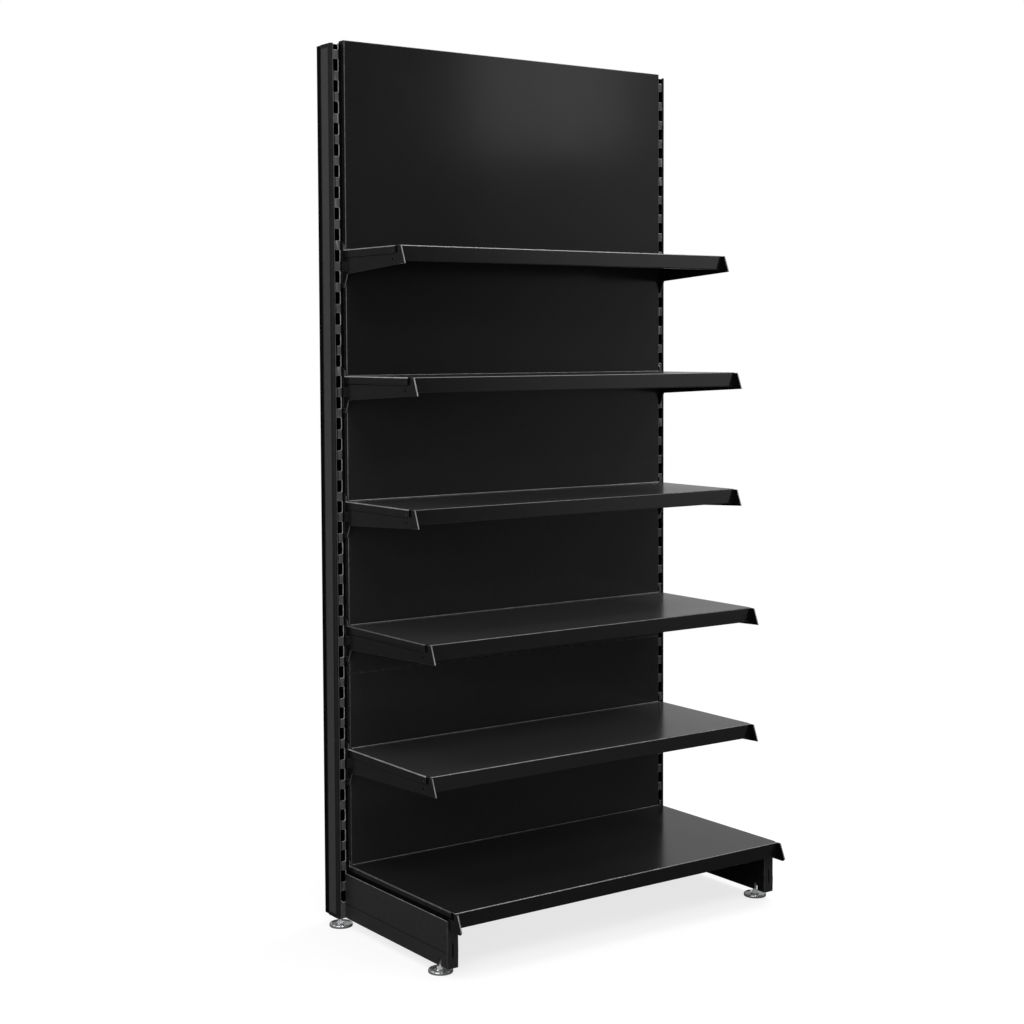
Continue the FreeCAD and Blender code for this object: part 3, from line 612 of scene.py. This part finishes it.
def startVertex(name, place):
    # one vertex to draw a profile from
    bpy.ops.object.select_all(action="DESELECT")
    bpy.ops.mesh.primitive_plane_add(size=mm, location=(0, 0, 0))
    piece = bpy.context.object
    piece.name = name
    piece.data.name = name
    bpy.ops.object.mode_set(mode="EDIT")
    bpy.ops.mesh.select_mode(type="VERT")
    bpy.ops.mesh.select_all(action="SELECT")
    bpy.ops.mesh.merge(type="CENTER")
    bpy.ops.transform.translate(value=place)
    return piece


def drawProfile(places):
    # extrudes the selected vertex from place to place
    for first, second in zip(places, places[1:]):
        step = Vector(second) - Vector(first)
        bpy.ops.mesh.extrude_region_move(TRANSFORM_OT_translate={"value": step})


def standingRod(sides, radius, middle, bottom, tall):
    bpy.ops.object.select_all(action="DESELECT")
    bpy.ops.mesh.primitive_cylinder_add(vertices=sides, radius=radius, depth=tall,
                                        location=(middle.x, middle.y, bottom + tall / 2))
    bpy.ops.object.transform_apply()
    return bpy.context.object


def footDisc(nodeName):
    low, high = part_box(nodeName)
    middle = (low + high) / 2
    places = [(middle.x + radius * mm, middle.y, low.z + height * mm) for radius, height in footLook["dish"]]
    piece = startVertex(nodeName + "_dished", places[0])
    drawProfile(places)
    bpy.ops.mesh.select_all(action="SELECT")
    bpy.ops.mesh.spin(steps=footLook["dishSteps"], angle=math.tau, center=(middle.x, middle.y, 0),
                      axis=(0, 0, 1))
    bpy.ops.mesh.select_all(action="SELECT")
    bpy.ops.mesh.remove_doubles(threshold=near)
    bpy.ops.mesh.normals_make_consistent(inside=False)
    bpy.ops.object.mode_set(mode="OBJECT")
    takeFinish(piece, whole="zinc")
    dressed(piece, nodeName)


def footStud(nodeName):
    low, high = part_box(nodeName)
    middle = (low + high) / 2
    hexagonTall = footLook["hexagonHeight"]
    shankLow = low.z + hexagonTall
    shankTall = high.z - shankLow
    root = footLook["rootRadius"]
    pitch = footLook["threadPitch"]

    # the core with a rounded tip, and the hexagon under it
    core = standingRod(footLook["coreSides"], root, middle, shankLow, shankTall)
    roundBend(core, [onPlane(axisZ, high.z)], footLook["tip"], steps=2)
    hexagon = standingRod(6, footLook["hexagonFlats"] / math.sqrt(3), middle, low.z, hexagonTall)
    roundEdges(hexagon, footLook["hexagonEdge"])

    # the thread: a tooth drawn beside the world's upright axis, screwed up round it and moved to the core
    turns = int((shankTall - footLook["bareTurns"] * pitch) / pitch)
    tooth = [(root - footLook["toothSunk"], share) for share in footLook["toothRoot"]]
    tooth += [(footLook["crestRadius"], share) for share in footLook["toothCrest"]]
    places = [(radius, 0, share * pitch) for radius, share in tooth]
    piece = startVertex(nodeName + "_threaded", places[0])
    drawProfile(places + places[:1])
    bpy.ops.mesh.select_all(action="SELECT")
    bpy.ops.mesh.remove_doubles(threshold=nearer)
    bpy.ops.object.mode_set(mode="OBJECT")
    applied(piece, "SCREW", axis="Z", angle=math.tau, screw_offset=pitch, iterations=turns,
            steps=footLook["threadSteps"], render_steps=footLook["threadSteps"], use_merge_vertices=True,
            use_normal_calculate=True)
    bpy.ops.object.mode_set(mode="EDIT")
    bpy.ops.mesh.select_all(action="SELECT")
    bpy.ops.mesh.remove_doubles(threshold=nearer)
    bpy.ops.mesh.fill_holes(sides=0)
    bpy.ops.mesh.select_all(action="SELECT")
    bpy.ops.mesh.normals_make_consistent(inside=False)
    bpy.ops.transform.translate(value=(middle.x, middle.y, shankLow + footLook["threadStart"] * pitch))
    bpy.ops.object.mode_set(mode="OBJECT")

    pickOnly(piece)
    core.select_set(True)
    hexagon.select_set(True)
    bpy.ops.object.join()
    # painted light: the stud takes the lighter zinc
    takeFinish(piece, whole="stud")
    dressed(piece, nodeName)


def footNut(nodeName):
    piece = mergedCopy(nodeName)
    roundEdges(piece, footLook["nutEdge"])
    takeFinish(piece, whole="zinc")
    dressed(piece, nodeName)


for end in ("front", "rear"):
    for side in ("left", "right"):
        corner = f"{end}_{side}"
        footDisc("foot_disc_" + corner)
        footStud("foot_stud_" + corner)
        footNut("foot_nut_" + corner)
print("feet done")

# Floor: white to the camera with a faint shadow, grey in reflections

floorLook = {"size": 8, "whiteFrom": 1.3, "whiteTo": 3.2, "lift": 0.76, "catch": 0.3, "grey": 0.095}


def mattShader(tree, value):
    matt = tree.nodes.new("ShaderNodeBsdfDiffuse")
    matt.inputs["Color"].default_value = (value, value, value, 1)
    return matt.outputs[0]


def mixedShader(tree, mask, first, second):
    mix = tree.nodes.new("ShaderNodeMixShader")
    for source, socket in zip((mask, first, second), mix.inputs):
        tree.links.new(source, socket)
    return mix.outputs[0]


def makeFloor():
    bpy.ops.object.select_all(action="DESELECT")
    bpy.ops.mesh.primitive_plane_add(size=floorLook["size"], location=(0, 0, 0))
    floor = bpy.context.object
    floor.name = "floor"
    material, tree, shader = startMaterial("paleFloor")
    tree.nodes.remove(shader)
    lift = tree.nodes.new("ShaderNodeEmission")
    lift.inputs["Strength"].default_value = floorLook["lift"]
    lit = tree.nodes.new("ShaderNodeAddShader")
    tree.links.new(mattShader(tree, floorLook["catch"]), lit.inputs[0])
    tree.links.new(lift.outputs[0], lit.inputs[1])
    white = tree.nodes.new("ShaderNodeEmission")
    reach = tree.nodes.new("ShaderNodeVectorMath")
    reach.operation = "LENGTH"
    tree.links.new(tree.nodes.new("ShaderNodeTexCoord").outputs["Object"], reach.inputs[0])
    far = ramped(tree, reach.outputs["Value"], 0, 1, floorLook["whiteFrom"], floorLook["whiteTo"])
    seen = mixedShader(tree, far, lit.outputs[0], white.outputs[0])
    toCamera = tree.nodes.new("ShaderNodeLightPath").outputs["Is Camera Ray"]
    choice = mixedShader(tree, toCamera, mattShader(tree, floorLook["grey"]), seen)
    tree.links.new(choice, tree.nodes["Material Output"].inputs["Surface"])
    floor.data.materials.append(material)


makeFloor()

# Studio: white to the camera, a darker room with glows in reflections, and soft boxes

roomLook = {
    "fill": 0.45,          # plain light from all round
    "dark": 0.02,          # what the coat reflects where no glow reaches
    "glows": (             # edge and core are cosines round the glow's direction, low and full are heights
        {"towards": (0.62, 0.78, 0), "edge": 0.6, "core": 0.9, "low": -0.4, "full": -0.1, "strength": 0.31},
        {"towards": (0.62, 0.78, 0), "edge": 0.6, "core": 0.9, "low": 0.32, "full": 0.06, "strength": 0.19},
        {"towards": (-0.58, 0.8, 0), "edge": 0.5, "core": 0.95, "low": -0.4, "full": -0.1, "strength": 0.1},
        {"towards": (0.731, -0.682, 0), "edge": 0.966, "core": 1.0, "low": -0.34, "full": 0.14,
         "strength": 0.47}),
}


def joined(tree, operation, first, second):
    # a sum or product with a socket or a plain number
    join = tree.nodes.new("ShaderNodeMath")
    join.operation = operation
    tree.links.new(first, join.inputs[0])
    if isinstance(second, float):
        join.inputs[1].default_value = second
    else:
        tree.links.new(second, join.inputs[1])
    return join.outputs[0]


def makeRoom():
    world = bpy.data.worlds.new("studio")
    scene.world = world
    world.use_nodes = True
    tree = world.node_tree
    background = tree.nodes["Background"]
    background.inputs["Color"].default_value = (1, 1, 1, 1)
    towards = tree.nodes.new("ShaderNodeTexCoord").outputs["Generated"]
    parts = tree.nodes.new("ShaderNodeSeparateXYZ")
    tree.links.new(towards, parts.inputs[0])
    level = tree.nodes.new("ShaderNodeCombineXYZ")      # the direction along the floor
    tree.links.new(parts.outputs["X"], level.inputs["X"])
    tree.links.new(parts.outputs["Y"], level.inputs["Y"])
    flat = tree.nodes.new("ShaderNodeVectorMath")
    flat.operation = "NORMALIZE"
    tree.links.new(level.outputs[0], flat.inputs[0])
    total = roomLook["dark"]
    for glow in roomLook["glows"]:
        along = tree.nodes.new("ShaderNodeVectorMath")
        along.operation = "DOT_PRODUCT"
        along.inputs[1].default_value = Vector(glow["towards"]).normalized()
        tree.links.new(flat.outputs[0], along.inputs[0])
        spread = ramped(tree, along.outputs["Value"], 0, glow["strength"], glow["edge"], glow["core"],
                        kind="SMOOTHSTEP")
        height = ramped(tree, parts.outputs["Z"], 0, 1, glow["low"], glow["full"], kind="SMOOTHSTEP")
        total = joined(tree, "ADD", joined(tree, "MULTIPLY", spread, height), total)
    path = tree.nodes.new("ShaderNodeLightPath")
    shiny = tree.nodes.new("ShaderNodeMix")
    shiny.inputs["A"].default_value = roomLook["fill"]
    tree.links.new(path.outputs["Is Glossy Ray"], shiny.inputs["Factor"])
    tree.links.new(total, shiny.inputs["B"])
    white = tree.nodes.new("ShaderNodeMix")
    white.inputs["B"].default_value = 1.0
    tree.links.new(path.outputs["Is Camera Ray"], white.inputs["Factor"])
    tree.links.new(shiny.outputs["Result"], white.inputs["A"])
    tree.links.new(white.outputs["Result"], background.inputs["Strength"])


makeRoom()

softBoxes = {
    "keyBox": {"place": (2.3, -2.6, 3.9), "aim": (0, 0, 1.3), "size": (1.2, 0.8), "power": 9},
    "frontBox": {"place": (-1.2, -3.2, 3.6), "aim": (0, 0, 1.1), "size": (1.4, 1.0), "power": 42},
    "spotBox": {"place": (1.37, -1.5, 2.41), "aim": (0.1, 0.2, 1.95), "size": (0.6, 0.56), "power": 0.9},
    "topBox": {"place": (1.6, 0.1, 4.2), "aim": (0, 0, 1.0), "size": (2.2, 2.2), "power": 80},
    "leftBox": {"place": (-3.4, -1.6, 1.5), "aim": (0, 0, 1.1), "size": (2.4, 2.6), "power": 60},
    "backBox": {"place": (-2.4, 2.6, 4.2), "aim": (0, 0, 1.0), "size": (2.0, 1.2), "power": 40},
}
for name, box in softBoxes.items():
    lamp = bpy.data.lights.new(name, "AREA")
    lamp.shape = "RECTANGLE"
    lamp.size, lamp.size_y = box["size"]
    lamp.energy = box["power"]
    holder = bpy.data.objects.new(name, lamp)
    scene.collection.objects.link(holder)
    holder.location = box["place"]
    holder.rotation_euler = (Vector(box["aim"]) - Vector(box["place"])).to_track_quat("-Z", "Y").to_euler()
    holder.visible_camera = False
print("studio lit")

# Camera at the photograph's angle; the focal length, centre row and frame are in pixels

cameraLook = {"place": (-2.6446, -3.5299, 1.4088), "yaw": 35.305, "pitch": 3.30, "roll": -0.231,
              "focal": 1796.0, "centreRow": 450, "frame": 1024, "sensor": 36}
lens = bpy.data.cameras.new("photoCamera")
lens.sensor_width = cameraLook["sensor"]
lens.lens = cameraLook["focal"] * cameraLook["sensor"] / cameraLook["frame"]
lens.shift_y = (cameraLook["centreRow"] - cameraLook["frame"] / 2) / cameraLook["frame"]
camera = bpy.data.objects.new("photoCamera", lens)
scene.collection.objects.link(camera)
camera.location = cameraLook["place"]
camera.rotation_euler = [math.radians(angle) for angle in
                         (90 - cameraLook["pitch"], -cameraLook["roll"], -cameraLook["yaw"])]
scene.camera = camera
